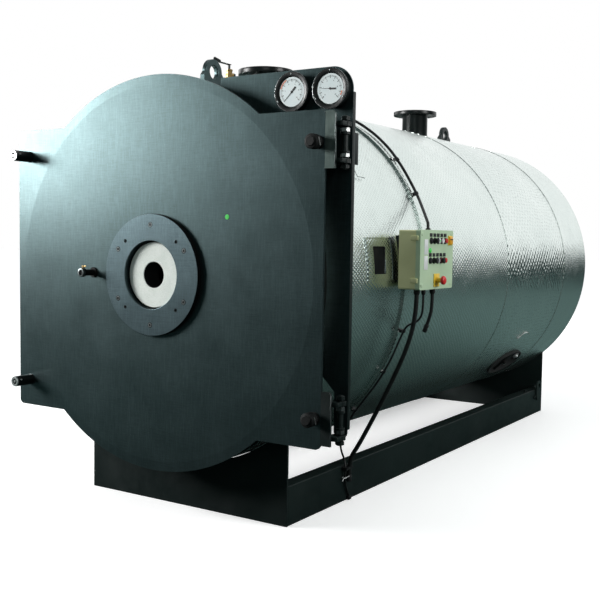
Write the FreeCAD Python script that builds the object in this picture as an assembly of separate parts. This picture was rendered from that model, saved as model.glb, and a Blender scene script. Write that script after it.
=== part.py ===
import FreeCAD, Part
import math
import os

# Industrial fire-tube boiler: a clad horizontal drum on two saddle plates and two rails, with a
# full-width front door on side hinges, two nozzles and two lifting lugs on top, a gauge panel
# beside the door, and a control box on the right side.
#
# Frame: millimetres, +Z up. The origin is on the ground, under the drum's axis, in the middle of
# the front saddle plate's thickness. -Y is towards the front door and +X is the hinge side.

V = FreeCAD.Vector
X, Y, Z = V(1, 0, 0), V(0, 1, 0), V(0, 0, 1)

# ---- driving dimensions ----------------------------------------------------------------------

# base
SADDLE_T = 12.0
BASE_HALF_W = 586.0          # half width over the saddles and over the rails' webs
REAR_SADDLE_Y = 3431.0       # mid-thickness of the rear saddle
RAIL_H = 180.0
RAIL_W = 74.0
RAIL_WEB_T = 8.0
RAIL_FLANGE_T = 11.0
TIE_LUG_Y = (3290.0, 3396.0)
TIE_LUG_Z = (96.0, 236.0)
TIE_LUG_T = 12.0
TIE_HOLE_R = 18.0

# drum
AXIS_Z = 1086.0
SHELL_R = 868.0              # outside of the cladding
CLAD_T = 6.0
DRUM_R = SHELL_R - CLAD_T
DRUM_FRONT_Y = -94.0
DRUM_REAR_Y = 3463.0
FURNACE_R = 430.0
FURNACE_LINER_T = 14.0
FURNACE_DEPTH = 2900.0
FURNACE_END_Y = DRUM_FRONT_Y + FURNACE_DEPTH
TUBE_PLATE_T = 20.0
SECTORS = 12                 # the drum and its front plate are made in equal sectors
REAR_COVER_T = 8.0

# cladding: where each joint lies above and below the split line
CLAD_SPLIT_Z = 1150.0
CLAD_UPPER_Y = [DRUM_FRONT_Y, 756.0, 1891.0, 2966.0, DRUM_REAR_Y]
CLAD_LOWER_Y = [DRUM_FRONT_Y, 521.0, 1891.0, 2966.0, DRUM_REAR_Y]
CLAD_NAMES = ["front_cladding", "second_cladding", "third_cladding", "rear_cladding"]
CLAD_RECESS = 3.0            # the front section lies this much lower than the others
BEAD_W = 22.0
BEAD_H = [0.0, 7.0, 2.0, 2.0]
WINDOW_Y, WINDOW_Z = (179.0, 406.0), (1084.0, 1272.0)        # raised frame round the plate window
WINDOW_HOLE_Y, WINDOW_HOLE_Z = (235.0, 345.0), (1112.0, 1234.0)
WINDOW_RAISE = 4.0

# front door
DOOR_Z = 1092.0
DOOR_FACE_Y = -219.0
DOOR_T = 12.0
DOOR_R = 880.0
DOOR_HALF_W = 882.0
DOOR_SHOULDER_TOP = 1767.0
DOOR_SHOULDER_BOTTOM = 422.0
DOOR_CORNER_R = 25.0
PLUG_R = 800.0
PLUG_BACK_Y = -122.0
THROAT_R = 58.5              # bore of the burner opening
BLOCK_R = 145.0              # white refractory disc
RING_BORE_R = 153.0
BURNER_RING_R = 270.0
BURNER_RING_T = 24.0
BURNER_STUD_PCD = 420.0
BURNER_STUD_R = 6.0
SIGHT_X = -370.0

# hinges
HINGE_X = 937.0
HINGE_Y = -159.0
PIN_R = 11.0
PIN_GAP = 0.1                # running clearance round a hinge pin
KNUCKLE_R = 24.0
BARREL_R = 19.0
HINGE_SPANS = {"upper": (1538.0, 1761.0), "lower": (441.0, 659.0)}     # door leaf, z low and high
LEAF_X = (DOOR_HALF_W, 928.0)
LEAF_T = 10.0
LEAF_CHAMFER = 20.0
HINGE_LUG_T = 18.0
NUT_R = 17.0
NUT_T = 16.0
MOVING_GAP = 5.0             # between the door's pieces and the fixed ones

# closing bolts
LEFT_CLOSER_X = -805.0
RIGHT_CLOSER_X = 851.0
CLOSER_Z = [1640.0, 548.0]
CLOSER_SHANK_R = 10.8
CLOSER_HOLE_R = 11.0

# gauge and hinge panel
PANEL_Y = -119.0
PANEL_T = 5.0
PANEL_X = (290.0, 947.0)
PANEL_TOP = 1949.0
PANEL_BOTTOM = 458.0
PANEL_LEG_X = 884.0
PANEL_LEG_TOP = 645.0
PANEL_DIAGONAL = 90.0
PANEL_TOP_R = 95.0
PANEL_FOOT_R = 28.0
PANEL_RETURN = 16.0          # depth of the folded right edge
GAUGE_X = {"left": 680.0, "right": 862.0}
GAUGE_Z = 1856.0
GAUGE_R = 82.0
GAUGE_FACE_Y = -157.0

# top fittings
NOZZLE_Y = {"front": 630.0, "rear": 2381.0}
NOZZLE_TOP = 2120.0
NOZZLE_R = 84.0
NOZZLE_BORE_R = 77.0
FLANGE_R = 142.5
FLANGE_T = 24.0
FLANGE_PCD = 240.0
FLANGE_HOLE_R = 11.0
FLANGE_HOLES = 8
LIFT_LUG_T = 25.0
LIFT_HEAD_R = 60.0
LIFT_HOLE_R = 32.0
LIFT_LUGS = {"front": (111.0, 261.0, 2104.0), "rear": (2771.0, 2946.0, 2074.0)}   # y low, y high, top
VENT_Y = 318.0

# control box
BOX_X = (893.0, 1000.0)
BOX_Y = (413.0, 766.0)
BOX_Z = (1043.0, 1309.0)
LID_T = 22.0
LID_GAP = 1.0
LID_OVERHANG = 2.0
BUTTON_R = 14.0
UPPER_ROW_Z, LOWER_ROW_Z = 1262.0, 1172.0
UPPER_ROW_Y = [520.0, 558.0, 596.0, 634.0, 672.0]
LOWER_ROW_Y = [516.0, 554.0, 592.0, 630.0, 668.0]
LAMP_BLOCK_Y, LAMP_BLOCK_Z = (704.0, 752.0), (1240.0, 1288.0)
ESTOP_Y, ESTOP_Z = 586.0, 1082.0

# rear end
FLUE_R = 175.0
FLUE_WALL = 6.0
FLUE_LENGTH = 150.0
FLUE_FLANGE_R = 215.0
FLUE_FLANGE_T = 10.0
FLUE_PCD = 394.0
FLUE_HOLES = 12
FLUE_HOLE_R = 6.0

# hand hole, low on the right side
HAND_Y = 2560.0
HAND_DEG = -45.5
HAND_A, HAND_B = 230.0, 105.0          # outer half axes, along the drum and round it
HAND_WALL = 12.0
HAND_FLOOR_R = 838.0
HAND_RIM_R = 879.0

# cables: diameters and routes. Each route is a list of (x, y, z) points of straight runs.
UPPER_CABLE_D = 14.0
UPPER_CABLE = [
    (948, 598, 1320), (945, 602, 1344), (903, 655, 1385), (859, 712, 1426), (817, 766, 1464),
    (773, 800, 1516), (708, 812, 1613), (623, 836, 1711), (522, 858, 1795), (431, 856, 1856),
    (369, 812, 1891), (333, 730, 1906), (321, 600, 1909), (325, 440, 1906), (339, 270, 1900),
    (362, 100, 1890), (388, -20, 1878), (398, -114, 1873),
]
SENSOR_CABLE_D = 10.0
SENSOR_CABLE = [
    (966, 526, 1015), (966, 526, 962), (958, 528, 912), (921, 536, 882), (874, 548, 868),
    (843, 552, 812), (798, 543, 699), (730, 541, 584), (646, 549, 483), (577, 560, 397),
    (535, 553, 318), (533, 539, 262), (558, 516, 226), (588, 490, 206), (602, 476, 166),
    (598, 476, 116), (594, 497, 68), (594, 528, 21),
]
CONDUIT_D = 22.0
CONDUIT = [
    (946, 497, 1015), (945, 497, 925), (910, 498, 785), (838, 499, 625), (742, 501, 437),
    (652, 504, 275), (607, 508, 212), (603, 510, 132),
]
BURNER_LEAD_D = 16.0
BURNER_LEAD = [(962, 631, 1015), (962, 631, 962), (955, 630, 912), (939, 629, 868)]
CONNECTOR_R = 11.0
CONNECTOR_L = 36.0
GLAND_BASE_Z = BOX_Z[0]
GLAND_END_Z = 1015.0
GROMMET_Y, GROMMET_Z = (516.0, 540.0), (3.0, 21.0)
UPPER_CLIPS = [(4, 768.0), (6, 768.0)]           # run of the cable that is held, y of the screw
SENSOR_CLIPS = [(4, 532.0), (6, 528.0), (8, 530.0)]
CLIP_W = 14.0
CLIP_T = 3.0
CLIP_LIFT = 0.3
BOOT_R = 13.0
BOOT_Z = (98.0, 128.0)


# ---- shape helpers ---------------------------------------------------------------------------

def block(x, y, z):
    """Box between three (low, high) pairs."""
    return Part.makeBox(x[1] - x[0], y[1] - y[0], z[1] - z[0], V(x[0], y[0], z[0]))


def rod(radius, start, end):
    """Round bar from one point to another."""
    along = V(*end) - V(*start)
    return Part.makeCylinder(radius, along.Length, V(*start), along)


def along_y(radius, y, x=0.0, z=AXIS_Z):
    """Round bar along Y between a (low, high) pair."""
    return rod(radius, (x, y[0], z), (x, y[1], z))


def widen(span, by=1.0):
    return (span[0] - by, span[1] + by)


def plate_xz(points, y):
    """Flat plate in the XZ plane from its (x, z) corners, between a (low, high) pair of y."""
    corners = [V(px, y[0], pz) for px, pz in points]
    return Part.Face(Part.makePolygon(corners + corners[:1])).extrude(V(0, y[1] - y[0], 0))


def plate_yz(points, x):
    """Flat plate in the YZ plane from its (y, z) corners, between a (low, high) pair of x."""
    corners = [V(x[0], py, pz) for py, pz in points]
    return Part.Face(Part.makePolygon(corners + corners[:1])).extrude(V(x[1] - x[0], 0, 0))


def fuse(shapes):
    whole = shapes[0]
    for shape in shapes[1:]:
        whole = whole.fuse(shape)
    return whole.removeSplitter()


def edges_along(axis, length):
    """Test for straight edges of one length along an axis."""
    def pick(edge):
        ends = [vertex.Point for vertex in edge.Vertexes]
        return len(ends) == 2 and abs(edge.Length - length) < 0.01 and \
            abs(abs((ends[1] - ends[0]).dot(axis)) - length) < 0.01
    return pick


def round_edges(shape, radius, pick):
    """Fillet the edges that pick(edge) chooses."""
    return shape.makeFillet(radius, [edge for edge in shape.Edges if pick(edge)])


def circle_points(count, radius, start_deg=0.0):
    """Points (across, up) evenly round a circle."""
    angles = [math.radians(start_deg + 360.0 * i / count) for i in range(count)]
    return [(radius * math.cos(a), radius * math.sin(a)) for a in angles]


def on_drum(radius, degrees, y):
    """Point at a radius and an angle round the drum's axis, 0 on the right and 90 on top."""
    a = math.radians(degrees)
    return (radius * math.cos(a), y, AXIS_Z + radius * math.sin(a))


def cable_tube(name, points, diameter):
    """Tube of straight runs joined by tangent arcs as large as the runs allow."""
    route = [V(*p) for p in points]
    edges, radii, here = [], [], route[0]
    for before, corner, after in zip(route, route[1:], route[2:]):
        into, out = (corner - before), (after - corner)
        turn = into.getAngle(out)
        radius = 0.45 * min(into.Length, out.Length) / math.tan(turn / 2)
        back = radius * math.tan(turn / 2)
        into.normalize()
        out.normalize()
        start, end = corner - into * back, corner + out * back
        bisector = (out - into).normalize()
        centre = corner + bisector * (radius / math.cos(turn / 2))
        middle = centre - bisector * radius
        edges.append(Part.LineSegment(here, start).toShape())
        edges.append(Part.Arc(start, middle, end).toShape())
        radii.append(round(radius))
        here = end
    edges.append(Part.LineSegment(here, route[-1]).toShape())
    path = Part.Wire(edges)
    ring = Part.Wire(Part.Circle(route[0], route[1] - route[0], diameter / 2).toShape())
    tube = path.makePipeShell([ring], True, False)
    ideal = math.pi * diameter ** 2 / 4 * path.Length
    print(name, "length", round(path.Length), "radii", radii, "volume over ideal", round(tube.Volume / ideal, 4))
    return tube


# ---- base ------------------------------------------------------------------------------------

def saddle(mid_y):
    y = (mid_y - SADDLE_T / 2, mid_y + SADDLE_T / 2)
    side_top = AXIS_Z - math.sqrt(SHELL_R ** 2 - BASE_HALF_W ** 2)
    return block((-BASE_HALF_W, BASE_HALF_W), y, (0, side_top)).cut(along_y(SHELL_R, widen(y)))


def rail(side):
    """Channel between the saddles, its web outward. side is +1 on the right, -1 on the left."""
    y = (SADDLE_T / 2, REAR_SADDLE_Y - SADDLE_T / 2)
    outer = side * BASE_HALF_W
    inner = side * (BASE_HALF_W - RAIL_W)
    web_in = side * (BASE_HALF_W - RAIL_WEB_T)
    section = [
        (outer, 0), (inner, 0), (inner, RAIL_FLANGE_T), (web_in, RAIL_FLANGE_T),
        (web_in, RAIL_H - RAIL_FLANGE_T), (inner, RAIL_H - RAIL_FLANGE_T), (inner, RAIL_H), (outer, RAIL_H),
    ]
    return plate_xz(section, y)


def transport_lug():
    """Drilled plate on the right rail's web at its rear end."""
    x = (BASE_HALF_W, BASE_HALF_W + TIE_LUG_T)
    lug = round_edges(block(x, TIE_LUG_Y, TIE_LUG_Z), 36.0, edges_along(X, TIE_LUG_T))
    mid_y = (TIE_LUG_Y[0] + TIE_LUG_Y[1]) / 2
    hole_z = TIE_LUG_Z[1] - 34.0
    return lug.cut(rod(TIE_HOLE_R, (x[0] - 1, mid_y, hole_z), (x[1] + 1, mid_y, hole_z)))


# ---- drum ------------------------------------------------------------------------------------

def oval_column(grow, low_r, high_r):
    """Oval column on the hand hole's axis, between two radii from the drum's axis."""
    oval = Part.Ellipse(V(0, 0, 0), HAND_A + grow, HAND_B + grow).toShape()
    column = Part.Face(Part.Wire(oval)).extrude(V(0, 0, high_r - low_r))
    outward = V(math.cos(math.radians(HAND_DEG)), 0, math.sin(math.radians(HAND_DEG)))
    turn = FreeCAD.Rotation(Y, outward.cross(Y), outward, "XZY")
    column.Placement = FreeCAD.Placement(V(*on_drum(low_r, HAND_DEG, HAND_Y)), turn)
    return column


def hand_hole():
    """Oval neck with a set-back cover, held by a cross bar, a stud and a nut."""
    neck = oval_column(0, HAND_FLOOR_R, HAND_RIM_R)
    neck = neck.cut(oval_column(-HAND_WALL, HAND_FLOOR_R + 10, HAND_RIM_R + 1))
    cover = oval_column(-HAND_WALL - 16, HAND_FLOOR_R + 5, HAND_FLOOR_R + 18)
    bar_y = (HAND_Y - 14, HAND_Y + 14)
    across = [on_drum(HAND_RIM_R - 12, HAND_DEG - 5.8, 0), on_drum(HAND_RIM_R - 12, HAND_DEG + 5.8, 0)]
    bar = rod(9.0, (across[0][0], HAND_Y, across[0][2]), (across[1][0], HAND_Y, across[1][2]))
    stud = rod(9.0, on_drum(HAND_FLOOR_R + 10, HAND_DEG, HAND_Y), on_drum(HAND_RIM_R + 6, HAND_DEG, HAND_Y))
    nut = rod(16.0, on_drum(HAND_RIM_R - 6, HAND_DEG, HAND_Y), on_drum(HAND_RIM_R + 2, HAND_DEG, HAND_Y))
    return fuse([neck, cover, bar.common(block((0, 2000), bar_y, (0, 2000))), stud, nut])


def in_sectors(shape):
    """List of the equal sectors of a shape round the furnace's axis, each close to convex."""
    reach = 2 * DRUM_R
    corners = [(across, DOOR_Z + up) for across, up in circle_points(SECTORS, reach)]
    pieces = []
    for first, second in zip(corners, corners[1:] + corners[:1]):
        wedge = plate_xz([(0, DOOR_Z), first, second], (DRUM_FRONT_Y - 1, DRUM_REAR_Y + 1))
        pieces.append(shape.common(wedge))
    return pieces


def boiler_drum():
    """Sectors round the furnace, and a solid end behind it."""
    around = along_y(DRUM_R, (DRUM_FRONT_Y + TUBE_PLATE_T, FURNACE_END_Y))
    around = around.cut(along_y(FURNACE_R, (DRUM_FRONT_Y, FURNACE_END_Y + 1), z=DOOR_Z))
    around = around.cut(oval_column(0, HAND_FLOOR_R, SHELL_R + 20))
    return Part.makeCompound(in_sectors(around) + [along_y(DRUM_R, (FURNACE_END_Y, DRUM_REAR_Y))])


def furnace_tube():
    y = (DRUM_FRONT_Y, FURNACE_END_Y)
    bore_r = FURNACE_R - FURNACE_LINER_T
    return along_y(FURNACE_R, y, z=DOOR_Z).cut(along_y(bore_r, (y[0] - 1, y[1] - FURNACE_LINER_T), z=DOOR_Z))


def front_tube_plate():
    y = (DRUM_FRONT_Y, DRUM_FRONT_Y + TUBE_PLATE_T)
    return Part.makeCompound(in_sectors(along_y(DRUM_R, y).cut(along_y(FURNACE_R, widen(y), z=DOOR_Z))))


def panel_ring():
    """Ring on the tube plate's front that carries the panel and the clamp brackets."""
    y = (PANEL_Y + PANEL_T, DRUM_FRONT_Y)
    return along_y(DRUM_R, y).cut(along_y(DRUM_R - 40, widen(y)))


def cladding(index):
    """One sheet section, with a raised lap bead at its front edge."""
    radius = SHELL_R - CLAD_RECESS if index == 0 else SHELL_R
    halves = []
    for starts, z in ((CLAD_UPPER_Y, (CLAD_SPLIT_Z, 2200)), (CLAD_LOWER_Y, (0, CLAD_SPLIT_Z))):
        y = (starts[index], starts[index + 1])
        skin = along_y(radius, y)
        if BEAD_H[index]:
            skin = skin.fuse(along_y(SHELL_R + BEAD_H[index], (y[0], y[0] + BEAD_W)))
        halves.append(skin.common(block((-1000, 1000), widen(y), z)))
    skin = fuse(halves)
    if index == 0:
        raised = block((0, 1000), WINDOW_Y, WINDOW_Z)
        skin = skin.fuse(raised.common(along_y(radius + WINDOW_RAISE, WINDOW_Y)))
    skin = skin.cut(along_y(DRUM_R, (DRUM_FRONT_Y - 1, DRUM_REAR_Y + 1)))
    if index == 0:
        skin = skin.cut(block((0, 1000), WINDOW_HOLE_Y, WINDOW_HOLE_Z))
    if CLAD_LOWER_Y[index] < HAND_Y < CLAD_LOWER_Y[index + 1]:
        skin = skin.cut(oval_column(0, HAND_FLOOR_R, SHELL_R + 20))
    return skin


def rear_cover():
    y = (DRUM_REAR_Y, DRUM_REAR_Y + REAR_COVER_T)
    return along_y(SHELL_R, y).cut(along_y(FLUE_R, widen(y)))


def flue_outlet():
    y = (DRUM_REAR_Y, DRUM_REAR_Y + FLUE_LENGTH)
    flange_y = (y[1] - FLUE_FLANGE_T, y[1])
    stub = along_y(FLUE_R, y).fuse(along_y(FLUE_FLANGE_R, flange_y))
    stub = stub.cut(along_y(FLUE_R - FLUE_WALL, widen(y)))
    for across, up in circle_points(FLUE_HOLES, FLUE_PCD / 2):
        stub = stub.cut(along_y(FLUE_HOLE_R, widen(flange_y), across, AXIS_Z + up))
    return stub


# ---- top fittings ----------------------------------------------------------------------------

def nozzle(y):
    """Short flanged pipe, its neck cut to the cladding."""
    body = rod(NOZZLE_R, (0, y, AXIS_Z), (0, y, NOZZLE_TOP))
    body = body.fuse(rod(FLANGE_R, (0, y, NOZZLE_TOP - FLANGE_T), (0, y, NOZZLE_TOP)))
    body = body.cut(along_y(SHELL_R, (y - 200, y + 200)))
    body = body.cut(rod(NOZZLE_BORE_R, (0, y, AXIS_Z + SHELL_R + 10), (0, y, NOZZLE_TOP + 1)))
    for across, along in circle_points(FLANGE_HOLES, FLANGE_PCD / 2, 180.0 / FLANGE_HOLES):
        foot = (across, y + along, NOZZLE_TOP - FLANGE_T - 1)
        body = body.cut(rod(FLANGE_HOLE_R, foot, (foot[0], foot[1], NOZZLE_TOP + 1)))
    return body


def lifting_lug(y_low, y_high, top):
    """Plate with a round head and a shackle hole."""
    x = (-LIFT_LUG_T / 2, LIFT_LUG_T / 2)
    mid = (y_low + y_high) / 2
    head_z = top - LIFT_HEAD_R
    neck_z = head_z - 20
    web = block(x, (y_low, y_high), (AXIS_Z + SHELL_R - 40, neck_z))
    cheek = plate_yz([(y_low, neck_z), (y_high, neck_z), (mid + LIFT_HEAD_R, head_z), (mid - LIFT_HEAD_R, head_z)], x)
    lug = fuse([web, cheek, rod(LIFT_HEAD_R, (x[0], mid, head_z), (x[1], mid, head_z))])
    lug = lug.cut(rod(LIFT_HOLE_R, (x[0] - 1, mid, head_z), (x[1] + 1, mid, head_z)))
    return lug.cut(along_y(SHELL_R, (y_low - 10, y_high + 10)))


def vent_valve():
    """Small ball valve: stem, hexagon body, side spout and a lever with a knob."""
    y = VENT_Y
    stem = rod(11.0, (0, y, AXIS_Z + SHELL_R - 20), (0, y, 2040.0))
    body = rod(17.0, (0, y, 2040.0), (0, y, 2078.0))
    spout = rod(9.0, (0, y, 2056.0), (0, y + 44, 2056.0))
    spindle = rod(6.0, (0, y, 2078.0), (0, y, 2104.0))
    lever = block((-8, 8), (y - 80, y + 8), (2100.0, 2105.0))
    knob = rod(7.5, (0, y - 118, 2114.0), (0, y - 72, 2106.0))
    return fuse([stem, body, spout, spindle, lever, knob]).cut(along_y(SHELL_R, (y - 200, y + 100)))


# ---- gauge and hinge panel -------------------------------------------------------------------

def gauge_panel():
    """Plate beside and above the door, with a narrow leg down the hinge side."""
    y = (PANEL_Y, PANEL_Y + PANEL_T)
    shelf_z = PANEL_LEG_TOP + PANEL_DIAGONAL
    outline = [
        (PANEL_X[0], PANEL_TOP), (PANEL_X[1], PANEL_TOP), (PANEL_X[1], PANEL_BOTTOM),
        (PANEL_LEG_X, PANEL_BOTTOM), (PANEL_LEG_X, PANEL_LEG_TOP),
        (PANEL_LEG_X - PANEL_DIAGONAL, shelf_z), (PANEL_X[0], shelf_z),
    ]
    plate = plate_xz(outline, y)

    def corner(x, z):
        return lambda e: edges_along(Y, PANEL_T)(e) and (e.Vertexes[0].Point - V(x, e.Vertexes[0].Y, z)).Length < 1

    plate = round_edges(plate, PANEL_TOP_R, corner(PANEL_X[1], PANEL_TOP))
    plate = round_edges(plate, PANEL_FOOT_R, corner(PANEL_X[1], PANEL_BOTTOM))
    plate = round_edges(plate, PANEL_FOOT_R, corner(PANEL_LEG_X, PANEL_BOTTOM))
    plate = plate.cut(along_y(DRUM_R - 22, widen(y)))
    fold_z = (PANEL_BOTTOM + PANEL_FOOT_R + 10, PANEL_TOP - PANEL_TOP_R - 10)
    fold = block((PANEL_X[1] - 3, PANEL_X[1]), (y[1], y[1] + PANEL_RETURN), fold_z)
    stay = block((PANEL_X[1] - 6, PANEL_X[1]), (y[1], y[1] + 42), (1560.0, 1684.0))
    return fuse([plate, fold, stay])


def gauge(x):
    """Dial gauge: case, wide bezel and a recessed dial."""
    case = along_y(GAUGE_R * 0.9, (GAUGE_FACE_Y, PANEL_Y), x, GAUGE_Z)
    bezel = along_y(GAUGE_R, (GAUGE_FACE_Y, GAUGE_FACE_Y + 12), x, GAUGE_Z)
    dial = along_y(GAUGE_R * 0.72, (GAUGE_FACE_Y - 1, GAUGE_FACE_Y + 5), x, GAUGE_Z)
    return fuse([case, bezel]).cut(dial)


def clamp_bracket(z):
    """Plate behind the door's left edge that a closing bolt draws up to."""
    y = (PANEL_Y, DRUM_FRONT_Y - 5)
    return block((LEFT_CLOSER_X - 45, -500), y, (z - 55, z + 55)).cut(along_y(DRUM_R + 1, widen(y)))


# ---- hinges ----------------------------------------------------------------------------------

def hinge_lug_spans(span):
    """z ranges of the door leaf's two lugs."""
    low, high = span[0] + 22, span[1] - 40
    return [(low, low + HINGE_LUG_T), (high - HINGE_LUG_T, high)]


def hinge_leaf(span):
    """Door side: a face bar with a cut corner and two drilled lugs behind it."""
    face_y = (DOOR_FACE_Y, DOOR_FACE_Y + LEAF_T)
    low, high = span
    pieces = [plate_xz([
        (LEAF_X[0], low), (LEAF_X[1], low), (LEAF_X[1], high - LEAF_CHAMFER),
        (LEAF_X[1] - LEAF_CHAMFER, high), (LEAF_X[0], high),
    ], face_y)]
    for lug_z in hinge_lug_spans(span):
        pieces.append(block((LEAF_X[0] + 6, HINGE_X + 18), (face_y[1], HINGE_Y), lug_z))
        pieces.append(rod(KNUCKLE_R, (HINGE_X, HINGE_Y, lug_z[0]), (HINGE_X, HINGE_Y, lug_z[1])))
    return fuse(pieces).cut(rod(PIN_R + PIN_GAP, (HINGE_X, HINGE_Y, low - 50), (HINGE_X, HINGE_Y, high + 50)))


def hinge_bracket(span):
    """Panel side: a pin with two nuts, held by a barrel on a web plate."""
    low_lug, high_lug = hinge_lug_spans(span)
    barrel_z = (low_lug[1] + MOVING_GAP, high_lug[0] - MOVING_GAP)
    low_nut_top = low_lug[0] - MOVING_GAP
    high_nut_foot = high_lug[1] + MOVING_GAP

    def upright(radius, z):
        return rod(radius, (HINGE_X, HINGE_Y, z[0]), (HINGE_X, HINGE_Y, z[1]))

    web = block((HINGE_X - 20, HINGE_X - 4), (HINGE_Y, PANEL_Y), barrel_z)
    pin = upright(PIN_R, (low_nut_top - NUT_T - 3, high_nut_foot + NUT_T + 3))
    nuts = [upright(NUT_R, (low_nut_top - NUT_T, low_nut_top)), upright(NUT_R, (high_nut_foot, high_nut_foot + NUT_T))]
    return fuse([upright(BARREL_R, barrel_z), web, pin] + nuts)


# ---- door ------------------------------------------------------------------------------------

def closer_places():
    return [(x, z) for x in (LEFT_CLOSER_X, RIGHT_CLOSER_X) for z in CLOSER_Z]


def door_plate():
    """Round door with square shoulders at both sides."""
    y = (DOOR_FACE_Y, DOOR_FACE_Y + DOOR_T)
    shoulders = block((-DOOR_HALF_W, DOOR_HALF_W), y, (DOOR_SHOULDER_BOTTOM, DOOR_SHOULDER_TOP))
    shoulders = round_edges(shoulders, DOOR_CORNER_R, edges_along(Y, DOOR_T))
    plate = fuse([along_y(DOOR_R, y, z=DOOR_Z), shoulders])
    plate = plate.cut(along_y(RING_BORE_R, widen(y), z=DOOR_Z))
    for x, z in closer_places():
        plate = plate.cut(along_y(CLOSER_HOLE_R, widen(y), x, z))
    return plate


def door_insulation():
    y = (DOOR_FACE_Y + DOOR_T, PLUG_BACK_Y)
    return along_y(PLUG_R, y, z=DOOR_Z).cut(along_y(BLOCK_R, widen(y), z=DOOR_Z))


def burner_block():
    y = (DOOR_FACE_Y, PLUG_BACK_Y)
    return along_y(BLOCK_R, y, z=DOOR_Z).cut(along_y(THROAT_R, widen(y), z=DOOR_Z))


def burner_flange():
    """Ring on the door's face with four tapped holes for the burner's studs."""
    y = (DOOR_FACE_Y - BURNER_RING_T, DOOR_FACE_Y)
    ring = along_y(BURNER_RING_R, y, z=DOOR_Z).cut(along_y(RING_BORE_R, widen(y), z=DOOR_Z))
    for across, up in circle_points(4, BURNER_STUD_PCD / 2, 45.0):
        ring = ring.cut(along_y(BURNER_STUD_R, widen(y), across, DOOR_Z + up))
    return ring


def closer(x, z):
    """Closing bolt: a sleeve with an end cap on the door's face, and its shank behind."""
    sleeve_r, sleeve_l, cap_r = (25.5, 96.0, 22.0) if x < 0 else (30.0, 58.0, 19.0)
    tip_y = DOOR_FACE_Y - sleeve_l
    sleeve = along_y(sleeve_r, (tip_y, DOOR_FACE_Y), x, z)
    cap = along_y(cap_r, (tip_y - 6, tip_y), x, z)
    shank = along_y(CLOSER_SHANK_R, (DOOR_FACE_Y, PANEL_Y - 8), x, z)
    return fuse([sleeve, cap, shank])


def sight_port():
    """Peep tube with a base and a wider head."""
    y = DOOR_FACE_Y
    parts = [along_y(r, (y - far, y - near), SIGHT_X, DOOR_Z)
             for r, far, near in ((24.0, 8.0, 0.0), (14.0, 60.0, 0.0), (20.0, 84.0, 56.0))]
    return fuse(parts)


# ---- control box -----------------------------------------------------------------------------

LID_X = (BOX_X[1] - LID_T, BOX_X[1])


def control_box():
    x = (BOX_X[0], LID_X[0] - LID_GAP)
    return round_edges(block(x, BOX_Y, BOX_Z), 8.0, edges_along(X, x[1] - x[0]))


def control_box_lid():
    seal = block((LID_X[0] - LID_GAP, LID_X[0]), widen(BOX_Y, -10.0), widen(BOX_Z, -10.0))
    lid = block(LID_X, widen(BOX_Y, LID_OVERHANG), widen(BOX_Z, LID_OVERHANG))
    return fuse([round_edges(lid, 10.0, edges_along(X, LID_T)), seal])


def control_box_brackets():
    """Two upright channels between the cladding and the box's back."""
    arms = []
    for y_mid in (470.0, 706.0):
        arm = block((780, BOX_X[0]), (y_mid - 16, y_mid + 16), (BOX_Z[0] + 25, BOX_Z[1] - 25))
        arms.append(arm.cut(along_y(SHELL_R + BEAD_H[1] + 1, (y_mid - 30, y_mid + 30))))
    return Part.makeCompound(arms)


def push_buttons():
    """Two rows of round operators and a square lamp, each standing on the lid."""
    face = BOX_X[1]
    solids = [block((face, face + 8), LAMP_BLOCK_Y, LAMP_BLOCK_Z)]
    places = [(y, UPPER_ROW_Z) for y in UPPER_ROW_Y] + [(y, LOWER_ROW_Z) for y in LOWER_ROW_Y]
    for y, z in places:
        solids.append(fuse([rod(BUTTON_R, (face, y, z), (face + 5, y, z)),
                            rod(BUTTON_R - 3, (face + 5, y, z), (face + 13, y, z))]))
    return Part.makeCompound(solids)


def emergency_stop():
    face, y, z = BOX_X[1], ESTOP_Y, ESTOP_Z
    plate = block((face, face + 6), (y - 30, y + 30), (z - 30, z + 30))
    stem = rod(12.0, (face + 6, y, z), (face + 30, y, z))
    head = rod(20.0, (face + 30, y, z), (face + 46, y, z))
    return fuse([plate, stem, head])


# ---- cables ----------------------------------------------------------------------------------

def cable_glands():
    """Glands under and on top of the box, and the grommet block at the rail's foot."""
    glands = [(CONDUIT[0], 15.0), (SENSOR_CABLE[0], 10.5), (BURNER_LEAD[0], 14.0)]
    solids = [rod(r, (p[0], p[1], GLAND_END_Z), (p[0], p[1], GLAND_BASE_Z)) for p, r in glands]
    top = UPPER_CABLE[0]
    solids.append(rod(13.0, (top[0], top[1], BOX_Z[1]), top))
    solids.append(block((BASE_HALF_W, BASE_HALF_W + 16), GROMMET_Y, GROMMET_Z))
    return Part.makeCompound(solids)


def burner_connector():
    start, before = V(*BURNER_LEAD[-1]), V(*BURNER_LEAD[-2])
    along = (start - before).normalize()
    return Part.makeCylinder(CONNECTOR_R, CONNECTOR_L, start, along)


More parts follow.
